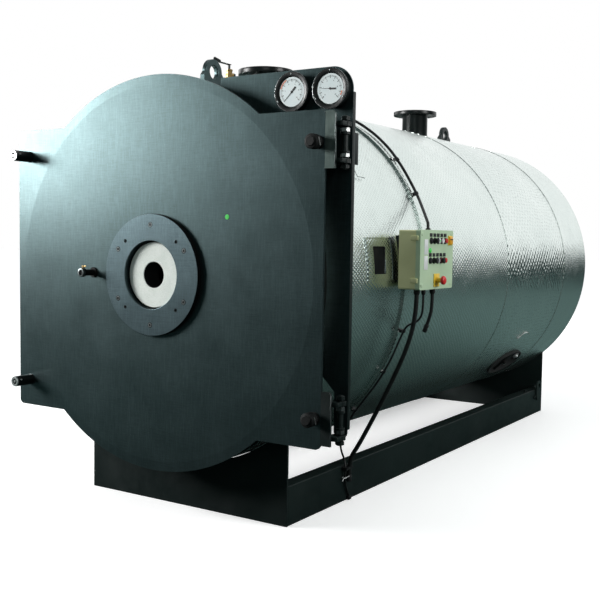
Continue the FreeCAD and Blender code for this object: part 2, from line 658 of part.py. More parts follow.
def drum_clip(route, index, y_screw, cable_d):
    """Strap from a screw on the cladding's bead, with a loop round one straight run of a cable."""
    centre = (V(*route[index]) + V(*route[index + 1])) * 0.5
    out = V(centre.x, 0, centre.z - AXIS_Z).normalize()
    side = Y.cross(out)
    angle = math.degrees(math.atan2(out.z, out.x))
    foot_y = y_screw - CLIP_W / 2
    base_r = SHELL_R + BEAD_H[1] + CLIP_LIFT
    foot = V(*on_drum(base_r, angle, foot_y)) - side * (CLIP_W / 2)
    thickness = max(CLIP_T, math.hypot(centre.x, centre.z - AXIS_Z) - base_r)
    strap = Part.makeBox(CLIP_W, centre.y - foot_y, thickness, V(0, 0, 0))
    strap.Placement = FreeCAD.Placement(foot, FreeCAD.Rotation(side, Y, out, "XYZ"))
    loop = Part.makeCylinder(cable_d / 2 + CLIP_T, CLIP_W, centre - side * (CLIP_W / 2), side)
    return fuse([strap, loop]).cut(along_y(SHELL_R + CLIP_LIFT, (foot_y - 5, centre.y + 30)))


def cable_clips():
    """Clips on the drum, and the clip and boot on the right rail."""
    clips = [drum_clip(UPPER_CABLE, index, y, UPPER_CABLE_D) for index, y in UPPER_CLIPS]
    clips += [drum_clip(SENSOR_CABLE, index, y, SENSOR_CABLE_D) for index, y in SENSOR_CLIPS]
    web, end = BASE_HALF_W, CONDUIT[-1]
    clips.append(block((web, web + 30), (464.0, 526.0), (160.0, 172.0)))
    boot = rod(BOOT_R, (end[0], end[1], BOOT_Z[0]), end)
    clips.append(boot.fuse(block((web, end[0]), (end[1] - 8, end[1] + 8), BOOT_Z)))
    return Part.makeCompound(clips)


# ---- nodes -----------------------------------------------------------------------------------

def build():
    nodes = {
        "front_saddle": saddle(0.0),
        "rear_saddle": saddle(REAR_SADDLE_Y),
        "left_rail": rail(-1),
        "right_rail": rail(+1),
        "transport_lug": transport_lug(),
        "boiler_drum": boiler_drum(),
        "furnace_tube": furnace_tube(),
        "front_tube_plate": front_tube_plate(),
        "panel_ring": panel_ring(),
        "hand_hole": hand_hole(),
        "rear_cover": rear_cover(),
        "flue_outlet": flue_outlet(),
        "vent_valve": vent_valve(),
        "gauge_panel": gauge_panel(),
        "clamp_brackets": Part.makeCompound([clamp_bracket(z) for z in CLOSER_Z]),
        "control_box": control_box(),
        "control_box_lid": control_box_lid(),
        "control_box_brackets": control_box_brackets(),
        "push_buttons": push_buttons(),
        "emergency_stop": emergency_stop(),
        "cable_glands": cable_glands(),
        "cable_clips": cable_clips(),
        "upper_cable": cable_tube("upper_cable", UPPER_CABLE, UPPER_CABLE_D),
        "sensor_cable": cable_tube("sensor_cable", SENSOR_CABLE, SENSOR_CABLE_D),
        "conduit": cable_tube("conduit", CONDUIT, CONDUIT_D),
        "burner_lead": cable_tube("burner_lead", BURNER_LEAD, BURNER_LEAD_D),
        "burner_connector": burner_connector(),
        "door_plate": door_plate(),
        "door_insulation": door_insulation(),
        "burner_block": burner_block(),
        "burner_flange": burner_flange(),
        "door_closers": Part.makeCompound([closer(x, z) for x, z in closer_places()]),
        "sight_port": sight_port(),
    }
    for place, span in HINGE_SPANS.items():
        nodes[place + "_hinge_leaf"] = hinge_leaf(span)
        nodes[place + "_hinge_bracket"] = hinge_bracket(span)
    for place, x in GAUGE_X.items():
        nodes[place + "_gauge"] = gauge(x)
    for place, y in NOZZLE_Y.items():
        nodes[place + "_nozzle"] = nozzle(y)
    for place, (y_low, y_high, top) in LIFT_LUGS.items():
        nodes[place + "_lifting_lug"] = lifting_lug(y_low, y_high, top)
    for index, name in enumerate(CLAD_NAMES):
        nodes[name] = cladding(index)
    return nodes


os.makedirs("parts", exist_ok=True)
for name, shape in build().items():
    if not shape.isValid():
        raise ValueError(name + " is not a valid solid")
    shape.exportStep("parts/" + name + ".step")
    print(name, len(shape.Solids), "solids", round(shape.Volume / 1e6, 3), "litres")
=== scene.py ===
import math

import bmesh
import bpy
from mathutils import Matrix, Vector


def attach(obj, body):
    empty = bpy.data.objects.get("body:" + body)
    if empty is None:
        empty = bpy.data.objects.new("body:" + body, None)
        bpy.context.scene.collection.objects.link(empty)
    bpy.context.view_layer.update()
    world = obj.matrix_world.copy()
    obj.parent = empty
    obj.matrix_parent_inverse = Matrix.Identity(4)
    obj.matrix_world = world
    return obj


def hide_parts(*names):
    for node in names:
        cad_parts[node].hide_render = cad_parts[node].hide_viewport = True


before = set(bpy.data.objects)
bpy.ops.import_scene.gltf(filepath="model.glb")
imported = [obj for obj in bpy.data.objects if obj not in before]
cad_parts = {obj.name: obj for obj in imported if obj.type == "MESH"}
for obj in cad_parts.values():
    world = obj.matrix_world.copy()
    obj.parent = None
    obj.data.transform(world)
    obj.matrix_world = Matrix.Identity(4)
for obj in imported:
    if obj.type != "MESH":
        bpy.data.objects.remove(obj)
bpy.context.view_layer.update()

X, Y, Z = Vector((1, 0, 0)), Vector((0, 1, 0)), Vector((0, 0, 1))
AXIS_Z = 1.086
SHELL_R = 0.868
DOOR_Z = 1.092
DOOR_Y = -0.219
RING_Y = -0.243

# ---- camera ----------------------------------------------------------------------------------

yaw, pitch, roll = math.radians(-32.835), math.radians(-3.835), math.radians(0.857)
ahead = Vector((math.sin(yaw) * math.cos(pitch), math.cos(yaw) * math.cos(pitch), math.sin(pitch)))
right0 = Vector((math.cos(yaw), -math.sin(yaw), 0))
up0 = right0.cross(ahead)
right = right0 * math.cos(roll) + up0 * math.sin(roll)
up = up0 * math.cos(roll) - right0 * math.sin(roll)
lens = bpy.data.cameras.new("camera")
lens.lens, lens.sensor_width = 55.28, 36.0
camera = bpy.data.objects.new("camera", lens)
bpy.context.scene.collection.objects.link(camera)
camera.matrix_world = Matrix.Translation((2.770, -3.3077, 1.2645)) @ Matrix((right, up,
    -ahead)).transposed().to_4x4()
bpy.context.scene.camera = camera


# ---- materials -------------------------------------------------------------------------------

class Graph:
    """A Principled material whose nodes read the row frame's coordinates in metres."""

    def __init__(self, name, rough=0.5, metal=0.0, **bolt_painted_shade):
        self.material = bpy.data.materials.new(name)
        self.material.use_nodes = True
        self.tree = self.material.node_tree
        self.shader = self.tree.nodes["Principled BSDF"]
        self.place = self.add("ShaderNodeTexCoord").outputs["Object"]
        self.set("Roughness", rough)
        self.set("Metallic", metal)
        for key, value in bolt_painted_shade.items():
            self.set(key.replace("_", " "), value)

    def add(self, kind, inputs=(), **props):
        node = self.tree.nodes.new(kind)
        for key, value in props.items():
            setattr(node, key, value)
        for key, value in dict(inputs).items():
            if isinstance(value, bpy.types.NodeSocket):
                self.tree.links.new(value, node.inputs[key])
            else:
                node.inputs[key].default_value = value
        return node

    def set(self, socket, value):
        if isinstance(value, bpy.types.NodeSocket):
            self.tree.links.new(value, self.shader.inputs[socket])
        else:
            if isinstance(value, (tuple, list)) and len(value) == 3:
                value = (*value, 1.0)
            self.shader.inputs[socket].default_value = value

    def math(self, op, a, b=0.0, c=0.0):
        return self.add("ShaderNodeMath", {0: a, 1: b, 2: c}, operation=op).outputs[0]

    def noise(self, scale, detail=4.0, rough=0.55, place=None):
        return self.add("ShaderNodeTexNoise", {"Vector": place or self.place, "Scale": scale,
            "Detail": detail, "Roughness": rough}).outputs["Fac"]

    def stretch(self, x, y, z):
        return self.add("ShaderNodeMapping", {"Vector": self.place, "Scale": (x, y, z)}).outputs["Vector"]

    def span(self, value, low, high, to_low=0.0, to_high=1.0):
        return self.add("ShaderNodeMapRange", {"Value": value, "From Min": low, "From Max": high,
                                               "To Min": to_low, "To Max": to_high}).outputs["Result"]

    def mix(self, fac, a, b, blend="MIX"):
        node = self.add("ShaderNodeMix", {"Factor": fac}, data_type="RGBA", blend_type=blend)
        for index, value in ((6, a), (7, b)):
            if isinstance(value, bpy.types.NodeSocket):
                self.tree.links.new(value, node.inputs[index])
            else:
                node.inputs[index].default_value = (*value, 1.0)
        return node.outputs[2]

    def bump(self, height, distance, strength=1.0, normal=None):
        inputs = {"Height": height, "Distance": distance, "Strength": strength}
        if normal is not None:
            inputs["Normal"] = normal
        out = self.add("ShaderNodeBump", inputs).outputs["Normal"]
        self.set("Normal", out)
        return out

    def coloured(self, a, b, scale=3.0, low=0.35, high=0.65):
        """Base colour that drifts between two tones."""
        colour = self.mix(self.span(self.noise(scale, 5.0), low, high), a, b)
        self.set("Base Color", colour)
        return colour

    def worn(self, low, high, scale=4.0):
        """Roughness that drifts between two values."""
        self.set("Roughness", self.span(self.noise(scale, 6.0, 0.6), 0.3, 0.7, low, high))


def simple(name, a, b, rough, metal=0.0, scale=6.0, grain=400.0, depth=0.0002, **bolt_painted_shade):
    """Tone and roughness that drift, with a fine grain."""
    g = Graph(name, rough[0], metal, **bolt_painted_shade)
    g.coloured(a, b, scale)
    g.worn(rough[0], rough[1], scale * 1.7)
    if depth:
        g.bump(g.noise(grain, 2.0), depth)
    return g.material


def powder_coat(name, low, high, fallen=False):
    """Metallic powder coat with brushed streaks. fallen leans the door's shading back outside its circle."""
    g = Graph(name, 0.36, 0.82)
    tone = g.mix(g.span(g.noise(2.2, 6.0, 0.6), 0.35, 0.65), low, high)
    streak = g.noise(1.0, 5.0, 0.65, g.stretch(14.0, 14.0, 190.0))
    weave = g.noise(1.0, 3.0, 0.6, g.stretch(190.0, 190.0, 16.0))
    tone = g.mix(g.span(streak, 0.42, 0.66, 0.0, 0.42), tone, [0.64 * part for part in low])
    tone = g.mix(g.span(weave, 0.45, 0.68, 0.0, 0.32), tone, [1.45 * part for part in high])
    tone = g.mix(g.span(g.noise(150.0, 3.0, 0.8), 0.60, 0.74, 0.0, 0.35), tone,
        [2.2 * part for part in high])
    g.set("Base Color", tone)
    g.set("Roughness", g.span(g.noise(5.0, 6.0, 0.6), 0.3, 0.7, 0.32, 0.38))
    lean = None
    if fallen:
        parts = g.add("ShaderNodeSeparateXYZ", {"Vector": g.place}).outputs
        up = g.math("SUBTRACT", parts["Z"], DOOR_Z)
        reach = g.math("SQRT", g.math("ADD", g.math("MULTIPLY", parts["X"], parts["X"]),
            g.math("MULTIPLY", up, up)))
        fall = g.math("MAXIMUM", g.math("SUBTRACT", reach, 0.838), 0.0)
        lean = g.bump(g.math("MULTIPLY", fall, -0.035), 1.0)
    g.bump(g.noise(260.0, 3.0), 0.0004, 0.6, lean)
    return g.material


def stucco_sheet(name, along, around, depth, end_face=False):
    """Embossed sheet: rows of small pillows at two pitches, on the drum's round or on its flat end."""
    g = Graph(name, 0.22, 1.0)
    parts = g.add("ShaderNodeSeparateXYZ", {"Vector": g.place}).outputs
    if end_face:
        first, second = parts["X"], parts["Z"]
    else:
        first = parts["Y"]
        second = g.math("MULTIPLY", g.math("ARCTAN2", g.math("SUBTRACT", parts["Z"], AXIS_Z), parts["X"]),
            SHELL_R)
    flat = g.add("ShaderNodeCombineXYZ", {"X": first, "Y": second}).outputs[0]
    wobble = g.math("MULTIPLY", g.math("SUBTRACT", g.noise(9.0, 2.0, 0.5, flat), 0.5), around * 0.9)
    u = g.math("COSINE", g.math("MULTIPLY", g.math("ADD", first, wobble), 2 * math.pi / along))
    v = g.math("COSINE", g.math("MULTIPLY", g.math("ADD", second, wobble), 2 * math.pi / around))
    pillows = g.math("MULTIPLY", u, v)
    tone = g.mix(g.span(g.noise(1.6, 5.0, 0.6), 0.35, 0.65), (0.70, 0.77, 0.74), (0.78, 0.84, 0.81))
    # hollows between the pillows are darker in the base colour: painted shade in the hollows
    tone = g.mix(g.span(pillows, -1.0, 0.0, 0.30, 0.0), tone, (0.42, 0.50, 0.47))
    g.set("Base Color", tone)
    g.set("Roughness", g.span(g.noise(7.0, 6.0, 0.6), 0.3, 0.7, 0.20, 0.27))
    waves = g.bump(g.noise(5.0, 2.0, 0.5, flat), 0.004)
    g.bump(g.math("ADD", pillows, g.math("MULTIPLY", g.noise(2.2 / around, 2.0, 0.5, flat), 1.3)), depth,
        1.0, waves)
    return g.material


def refractory():
    g = Graph("refractory_cement", 0.9)
    tone = g.mix(g.span(g.noise(14.0, 6.0, 0.7), 0.35, 0.65), (0.82, 0.88, 0.82), (0.93, 0.97, 0.92))
    tone = g.mix(g.span(g.noise(220.0, 3.0, 0.7), 0.5, 0.72, 0.0, 0.45), tone, (0.56, 0.61, 0.53))
    g.set("Base Color", tone)
    g.bump(g.noise(150.0, 5.0, 0.7), 0.002)
    return g.material


def base_paint():
    g = Graph("dark_base_paint", 0.4, Specular_IOR_Level=0.28)
    tone = g.mix(g.span(g.noise(3.0, 6.0, 0.65), 0.35, 0.7), (0.0040, 0.0090, 0.0085),
        (0.0085, 0.0160, 0.0150))
    tone = g.mix(g.span(g.noise(45.0, 5.0, 0.75), 0.60, 0.8, 0.0, 0.30), tone, (0.026, 0.038, 0.035))
    g.set("Base Color", tone)
    g.set("Roughness", g.span(g.noise(6.0, 6.0, 0.6), 0.3, 0.7, 0.36, 0.52))
    g.bump(g.noise(180.0, 4.0), 0.0005)
    return g.material


slate = powder_coat("slate_powder_coat", (0.044, 0.071, 0.073), (0.054, 0.083, 0.086), True)
ring_paint = powder_coat("ring_powder_coat", (0.064, 0.096, 0.106), (0.076, 0.112, 0.124))
sheet = stucco_sheet("stucco_sheet", 0.034, 0.024, 0.00055)
fine_sheet = stucco_sheet("stucco_sheet_fine", 0.026, 0.018, 0.00042)
broad_sheet = stucco_sheet("stucco_sheet_broad", 0.048, 0.048, 0.00095)
end_sheet = stucco_sheet("stucco_sheet_end", 0.034, 0.024, 0.00055, end_face=True)
cement = refractory()
dark = base_paint()
steel = simple("mill_scale_steel", (0.055, 0.052, 0.050), (0.11, 0.10, 0.095), (0.5, 0.7), 0.6, 5.0, 120.0,
    0.001)
# black for soot, also used as painted shade in the gaps, holes and bores of the fittings
soot_and_painted_shade = simple("soot_and_painted_shade", (0.004, 0.005, 0.005), (0.008, 0.010, 0.010), (0.85, 0.95), 0.0, 12.0, 200.0, 0.0008)
window_black = simple("window_black", (0.004, 0.005, 0.005), (0.010, 0.010, 0.009), (0.8, 0.9), 0.0, 12.0,
    Specular_IOR_Level=0.12)
gloss_black = simple("gloss_black_paint", (0.004, 0.006, 0.006), (0.007, 0.010, 0.010), (0.26, 0.32), 0.0,
    8.0, 300.0, 0.00003, Specular_IOR_Level=0.30)
enamel = simple("black_enamel", (0.004, 0.006, 0.006), (0.009, 0.011, 0.011), (0.28, 0.4), 0.0, 20.0,
    Specular_IOR_Level=0.38)
matte_black = simple("matte_black", (0.003, 0.004, 0.004), (0.006, 0.007, 0.007), (0.55, 0.7), 0.0, 40.0,
    Specular_IOR_Level=0.22)
gunmetal = simple("gunmetal", (0.10, 0.115, 0.115), (0.16, 0.18, 0.18), (0.3, 0.42), 0.9, 60.0)
# lighter than the door's slate paint and used only on the upper hinge bar: painted light
lit_hinge_paint = simple("hinge_paint_painted_light", (0.060, 0.088, 0.080), (0.095, 0.130, 0.118), (0.34, 0.46), 0.55,
    14.0, 180.0, 0.0004)
zinc = simple("zinc_plate", (0.62, 0.63, 0.62), (0.78, 0.79, 0.78), (0.25, 0.4), 1.0, 60.0)
rim_metal = simple("brushed_rim", (0.26, 0.28, 0.28), (0.38, 0.40, 0.40), (0.22, 0.32), 1.0, 60.0)
brass = simple("dull_brass", (0.42, 0.27, 0.10), (0.60, 0.42, 0.18), (0.3, 0.45), 1.0, 60.0)
moulding = simple("light_grey_moulding", (0.46, 0.62, 0.415), (0.52, 0.685, 0.465), (0.42, 0.5), 0.0, 7.0,
    500.0, 0.00012)
moulding_body = simple("olive_grey_moulding", (0.66, 0.68, 0.365), (0.73, 0.75, 0.415), (0.45, 0.55), 0.0,
    7.0, 500.0, 0.00012)
nylon = simple("black_nylon", (0.005, 0.006, 0.007), (0.011, 0.012, 0.013), (0.4, 0.55), 0.0, 40.0,
    Specular_IOR_Level=0.35)
rubber = simple("cable_sheath", (0.005, 0.006, 0.006), (0.011, 0.013, 0.013), (0.38, 0.5), 0.0, 25.0,
    Specular_IOR_Level=0.35)
dial_white = simple("dial_white", (0.84, 0.95, 0.96), (0.90, 0.98, 0.98), (0.35, 0.45), 0.0, 30.0, 300.0,
    0.0)
ink = simple("dial_ink", (0.012, 0.012, 0.014), (0.02, 0.02, 0.022), (0.5, 0.6), 0.0, 60.0, 300.0, 0.0)
orange = simple("dial_orange", (0.75, 0.20, 0.10), (0.82, 0.27, 0.15), (0.5, 0.6), 0.0, 60.0, 300.0, 0.0)
white = simple("white_plastic", (0.72, 0.74, 0.74), (0.80, 0.82, 0.82), (0.35, 0.45), 0.0, 30.0, 300.0, 0.0)
grey = simple("grey_plastic", (0.30, 0.32, 0.32), (0.36, 0.38, 0.38), (0.35, 0.45), 0.0, 30.0, 300.0, 0.0)
red = simple("red_plastic", (0.62, 0.018, 0.02), (0.72, 0.03, 0.03), (0.28, 0.36), 0.0, 30.0, 300.0, 0.0)
dark_red = simple("dark_red_plastic", (0.16, 0.010, 0.022), (0.22, 0.015, 0.03), (0.3, 0.4), 0.0, 30.0,
    300.0, 0.0)
yellow = simple("yellow_plastic", (0.78, 0.52, 0.03), (0.84, 0.60, 0.05), (0.35, 0.45), 0.0, 30.0, 300.0,
    0.0)
amber = simple("amber_lens", (0.80, 0.36, 0.015), (0.86, 0.43, 0.03), (0.25, 0.35), 0.0, 30.0, 300.0, 0.0)
green = simple("green_lens", (0.07, 0.72, 0.10), (0.10, 0.80, 0.14), (0.25, 0.35), 0.0, 30.0, 300.0, 0.0)
rope = simple("sealing_rope", (0.42, 0.40, 0.35), (0.55, 0.53, 0.47), (0.85, 0.95), 0.0, 40.0, 160.0, 0.003)


# ---- shape helpers ---------------------------------------------------------------------------

class Shape:
    """Builds one mesh from simple solids, in the part's own frame."""

    def __init__(self):
        self.bm = bmesh.new()

    def box(self, low, high, bevel=0.0):
        made = bmesh.ops.create_cube(self.bm, size=1.0)["verts"]
        low, high = Vector(low), Vector(high)
        for vert in made:
            vert.co = Vector([(low[i] + high[i]) / 2 + vert.co[i] * (high[i] - low[i]) for i in range(3)])
        self.soften(made, bevel)
        return self

    def soften(self, verts, bevel):
        if bevel:
            edges = list({edge for vert in verts for edge in vert.link_edges
                          if edge.calc_face_angle(0) > 0.5})
            bmesh.ops.bevel(self.bm, geom=edges, offset=bevel, segments=2, profile=0.5, affect="EDGES")

    def prism(self, points, start, along, bevel=0.0):
        """Solid from a closed loop of 3-D points pushed along a vector."""
        along = Vector(along)
        base = [self.bm.verts.new(Vector(p) + Vector(start)) for p in points]
        top = [self.bm.verts.new(v.co + along) for v in base]
        count = len(base)
        self.bm.faces.new(base)
        self.bm.faces.new(list(reversed(top)))
        for i in range(count):
            j = (i + 1) % count
            self.bm.faces.new((base[j], base[i], top[i], top[j]))
        self.soften(base + top, bevel)
        return self

    def lathe(self, origin, axis, profile, sides=32, phase=0.0):
        """Turned shape: profile is a list of (distance along the axis, radius)."""
        origin, axis = Vector(origin), Vector(axis).normalized()
        across = axis.orthogonal().normalized()
        if abs(axis.z) < 0.9:
            across = axis.cross(Z).normalized()
        other = axis.cross(across)
        rings = []
        for along, radius in profile:
            centre = origin + axis * along
            if radius < 1e-7:
                rings.append([self.bm.verts.new(centre)])
                continue
            angles = [2 * math.pi * i / sides + phase for i in range(sides)]
            rings.append([self.bm.verts.new(centre + (across * math.cos(a) + other * math.sin(a)) * radius)
                          for a in angles])
        for first, second in zip(rings, rings[1:]):
            for i in range(sides):
                j = (i + 1) % sides
                corners = [first[i % len(first)], first[j % len(first)], second[j % len(second)],
                    second[i % len(second)]]
                unique = list(dict.fromkeys(corners))
                if len(unique) > 2:
                    self.bm.faces.new(unique)
        return self

    def rod(self, start, end, radius, bevel=0.0, sides=24, phase=0.0):
        length = (Vector(end) - Vector(start)).length
        b = min(bevel, radius * 0.5, length * 0.45)
        profile = [(0, 0), (0, radius - b), (b, radius), (length - b, radius), (length, radius - b),
            (length, 0)]
        if not b:
            profile = [(0, 0), (0, radius), (length, radius), (length, 0)]
        return self.lathe(start, Vector(end) - Vector(start), profile, sides, phase)

    def ring(self, centre, axis, inner, outer, thickness, sides=48, bevel=0.0):
        b = bevel
        profile = [(0, inner + b), (0, outer - b), (b, outer), (thickness - b, outer),
            (thickness, outer - b), (thickness, inner + b), (thickness - b, inner), (b, inner),
            (0, inner + b)]
        return self.lathe(centre, axis, profile, sides)

    def tube(self, points, radii, sides=12):
        """Tube through points, closed at both ends. radii is a number or a list."""
        points = [Vector(p) for p in points]
        if not isinstance(radii, (list, tuple)):
            radii = [radii] * len(points)
        tangent = (points[1] - points[0]).normalized()
        across = tangent.orthogonal().normalized()
        rings = []
        for i, point in enumerate(points):
            ahead_point = points[min(i + 1, len(points) - 1)]
            behind = points[max(i - 1, 0)]
            tangent = (ahead_point - behind).normalized()
            across = (across - tangent * across.dot(tangent)).normalized()
            other = tangent.cross(across)
            angles = [2 * math.pi * k / sides for k in range(sides)]
            rings.append([self.bm.verts.new(point + (across * math.cos(a) + other * math.sin(a)) * radii[i])
                          for a in angles])
        for first, second in zip(rings, rings[1:]):
            for k in range(sides):
                j = (k + 1) % sides
                self.bm.faces.new((first[k], first[j], second[j], second[k]))
        self.bm.faces.new(list(reversed(rings[0])))
        self.bm.faces.new(rings[-1])
        return self

    def done(self, name, material, body="boiler", slot=None, replaces=(), smooth=35):
        bmesh.ops.recalc_face_normals(self.bm, faces=self.bm.faces)
        for face in self.bm.faces:
            face.smooth = True
        limit = math.radians(smooth)
        for edge in self.bm.edges:
            if len(edge.link_faces) != 2 or edge.calc_face_angle(0) > limit:
                edge.smooth = False
        mesh = bpy.data.meshes.new(name)
        self.bm.to_mesh(mesh)
        self.bm.free()
        mesh.materials.append(material)
        piece = bpy.data.objects.new(name, mesh)
        bpy.context.scene.collection.objects.link(piece)
        return place(piece, body, slot, replaces)


def place(piece, body, slot=None, replaces=()):
    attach(piece, body)
    if replaces:
        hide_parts(*replaces)
    return piece


def circle(count, radius, start=0.0):
    return [(radius * math.cos(math.radians(start) + 2 * math.pi * i / count),
             radius * math.sin(math.radians(start) + 2 * math.pi * i / count)) for i in range(count)]


def on_drum(radius, degrees, y):
    a = math.radians(degrees)
    return Vector((radius * math.cos(a), y, AXIS_Z + radius * math.sin(a)))


# ---- cords -----------------------------------------------------------------------------------

def nurbs(name, points, diameter, material):
    """Round cord on one NURBS spline through a route's control points."""
    curve = bpy.data.curves.new(name, "CURVE")
    curve.dimensions = "3D"
    spline = curve.splines.new("NURBS")
    spline.points.add(len(points) - 1)
    for point, co in zip(spline.points, points):
        point.co = (co[0] / 1000, co[1] / 1000, co[2] / 1000, 1.0)
    spline.order_u = 3
    spline.use_endpoint_u = True
    spline.resolution_u = 12
    curve.bevel_depth = diameter / 2
    curve.bevel_resolution = 4
    curve.use_fill_caps = True
    curve.materials.append(material)
    piece = bpy.data.objects.new(name, curve)
    bpy.context.scene.collection.objects.link(piece)
    return piece


def centreline(points):
    """Points read from the route's NURBS spline."""
    guide = nurbs("guide", points, 0.0, rubber)
    mesh = bpy.data.meshes.new_from_object(guide)
    line = [v.co.copy() for v in mesh.vertices]
    bpy.data.objects.remove(guide)
    return line


def even(line, step):
    """The same line with points a step apart."""
    lengths = [0.0]
    for a, b in zip(line, line[1:]):
        lengths.append(lengths[-1] + (b - a).length)
    count = max(2, round(lengths[-1] / step))
    made, k = [], 0
    for i in range(count + 1):
        want = lengths[-1] * i / count
        while k < len(line) - 2 and lengths[k + 1] < want:
            k += 1
        share = (want - lengths[k]) / max(lengths[k + 1] - lengths[k], 1e-9)
        made.append(line[k].lerp(line[k + 1], share))
    return made, lengths[-1]


SENSOR_CABLE = [
    (966, 526, 1015), (966, 526, 962), (958, 528, 912), (921, 536, 882), (874, 548, 868),
    (843, 552, 812), (798, 543, 699), (730, 541, 584), (646, 549, 483), (577, 560, 397),
    (535, 553, 318), (533, 539, 262), (558, 516, 226), (588, 490, 206), (602, 476, 166),
    (598, 476, 116), (594, 497, 68), (594, 528, 21),
]
CONDUIT = [
    (946, 497, 1015), (945, 497, 925), (910, 498, 785), (838, 499, 625), (742, 501, 437),
    (652, 504, 275), (607, 508, 212), (603, 510, 132),
]
BURNER_LEAD = [(962, 631, 1015), (962, 631, 962), (955, 630, 912), (939, 629, 868)]

sensor_length = even(centreline(SENSOR_CABLE), 0.01)[1]
sensor = place(nurbs("sensor_cable_sheath", SENSOR_CABLE, 0.010, rubber), "boiler", "cable",
    ["sensor_cable"])

conduit_line, conduit_length = even(centreline(CONDUIT), 0.0022)
ridges = [0.011 if i % 2 else 0.0096 for i in range(len(conduit_line))]
conduit = Shape().tube(conduit_line, ridges, 14).done("corrugated_conduit", rubber, "boiler", "cable",
    ["conduit"], 80)

lead_length = even(centreline(BURNER_LEAD), 0.01)[1]
lead = place(nurbs("burner_lead_sheath", BURNER_LEAD, 0.016, rubber), "boiler", "cable", ["burner_lead"])
end, before = Vector(BURNER_LEAD[-1]) / 1000, Vector(BURNER_LEAD[-2]) / 1000
along = (end - before).normalized()
connector = Shape().lathe(end - along * 0.002, along, [(0, 0), (0, 0.0095), (0.004, 0.011), (0.014, 0.011),
    (0.0145, 0.0098), (0.018, 0.0098), (0.0185, 0.011), (0.034, 0.011), (0.038, 0.009), (0.038, 0)], 24)
connector = connector.done("burner_lead_connector", nylon, "boiler", "clip_black", ["burner_connector"])


# ---- finishes of the CAD nodes ---------------------------------------------------------------

def finish_node(name, material, bevel=0.0):
    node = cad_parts[name]
    node.data.materials.clear()
    node.data.materials.append(material)
    if bevel:
        weld = node.modifiers.new("weld", "WELD")
        weld.merge_threshold = 0.00002
        edge = node.modifiers.new("bevel", "BEVEL")
        edge.width, edge.segments, edge.limit_method, edge.angle_limit = bevel, 2, "ANGLE", math.radians(40)
    return node


for name, material, slot, bevel in (
    ("front_saddle", dark, "base_paint", 0.0015), ("rear_saddle", dark, "base_paint", 0.0015),
    ("left_rail", dark, "base_paint", 0.004), ("right_rail", dark, "base_paint", 0.004),
    ("transport_lug", dark, "base_paint", 0.0015), ("boiler_drum", steel, "drum_steel", 0),
    ("furnace_tube", steel, "drum_steel", 0), ("front_tube_plate", steel, "drum_steel", 0),
    ("panel_ring", dark, "base_paint", 0), ("rear_cover", end_sheet, "cladding", 0.001),
    ("flue_outlet", dark, "base_paint", 0.001), ("front_nozzle", gloss_black, "nozzle_paint", 0.0015),
    ("rear_nozzle", gloss_black, "nozzle_paint", 0.0015), ("gauge_panel", slate, "door_paint", 0.001),
    ("clamp_brackets", dark, "base_paint", 0.001), ("control_box", moulding_body, "box_plastic", 0.0015),
    ("control_box_lid", moulding, "box_plastic", 0.002), ("control_box_brackets", dark, "base_paint", 0),
    ("door_plate", slate, "door_paint", 0.001), ("door_insulation", cement, "refractory", 0),
    ("burner_block", cement, "refractory", 0.002), ("burner_flange", ring_paint, "door_paint", 0.001),
    # rear lug in dark base paint, front lug in the door's paint: painted shade on the rear lug
    ("rear_lifting_lug", dark, "door_paint", 0.002),
    ("front_lifting_lug", slate, "door_paint", 0.002),
    ("hand_hole", soot_and_painted_shade, "base_paint", 0.001), ("cable_clips", nylon, "clip_black", 0.0005),
    ("upper_cable", rubber, "cable", 0), ("front_cladding", fine_sheet, "cladding", 0),
    ("second_cladding", sheet, "cladding", 0), ("third_cladding", broad_sheet, "cladding", 0),
    ("rear_cladding", sheet, "cladding", 0),
):
    finish_node(name, material, bevel)


# ---- door fittings ---------------------------------------------------------------------------

# black rings round the bolt heads and tapped holes, and black discs in the hex sockets and down the holes:
# painted shade of those gaps and holes
bolts, bolt_painted_shade = Shape(), Shape()
for across, high in circle(6, 0.2225, 30.0):
    spot = Vector((across, RING_Y, DOOR_Z + high))
    bolt_painted_shade.ring(spot - Y * 0.0004, Y, 0.0098, 0.0122, 0.0006, 24)
    bolts.lathe(spot + Y * 0.0002, -Y, [(0, 0.0098), (0.0010, 0.0098), (0.0016, 0.0090), (0.0016, 0.0062),
        (0.0004, 0.0060)], 24)
    bolt_painted_shade.rod(spot + Y * 0.0002, spot - Y * 0.0003, 0.0061, 0, 6)
for across, high in circle(4, 0.210, 45.0):
    bolt_painted_shade.ring((across, RING_Y - 0.0004, DOOR_Z + high), Y, 0.0058, 0.0080, 0.0006, 24)
    bolt_painted_shade.rod((across, RING_Y + 0.0060, DOOR_Z + high), (across, RING_Y + 0.0066, DOOR_Z + high), 0.0059,
        0, 24)
bolts.done("ring_bolts", gunmetal, "door", "door_paint")
bolt_painted_shade.done("ring_bolt_painted_shade", soot_and_painted_shade, "door", "closer_black")
# black sleeve round the flange ring's side: painted shade of the ring's edge
band = Shape().lathe((0, DOOR_Y, DOOR_Z), -Y, [(0.0002, 0.2690), (0.0002, 0.2712), (0.0095, 0.2712),
    (0.0105, 0.2703), (0.0120, 0.2703), (0.0130, 0.2712), (0.0218, 0.2712), (0.0228, 0.2700),
    (0.0228, 0.2690)], 128)
band.done("ring_edge_painted_shade", matte_black, "door", "closer_black")

# black ring in the gap between the refractory block and the ring's bore: painted shade of the gap
Shape().ring((0, -0.2095, DOOR_Z), Y, 0.1452, 0.1528, 0.002).done("block_gap_painted_shade", soot_and_painted_shade, "door",
    "closer_black")
Shape().lathe((0, DOOR_Y + 0.002, DOOR_Z), Y, [(0, 0.0583), (0, 0.0565), (0.094, 0.0565), (0.094, 0.0583)],
    48).done(
    "throat_liner", soot_and_painted_shade, "door", "closer_black")
Shape().lathe((0.407, DOOR_Y, 1.349), -Y, [(0, 0.011), (0.0012, 0.0105), (0.0014, 0.0)], 24).done(
    "green_marker", green, "door")

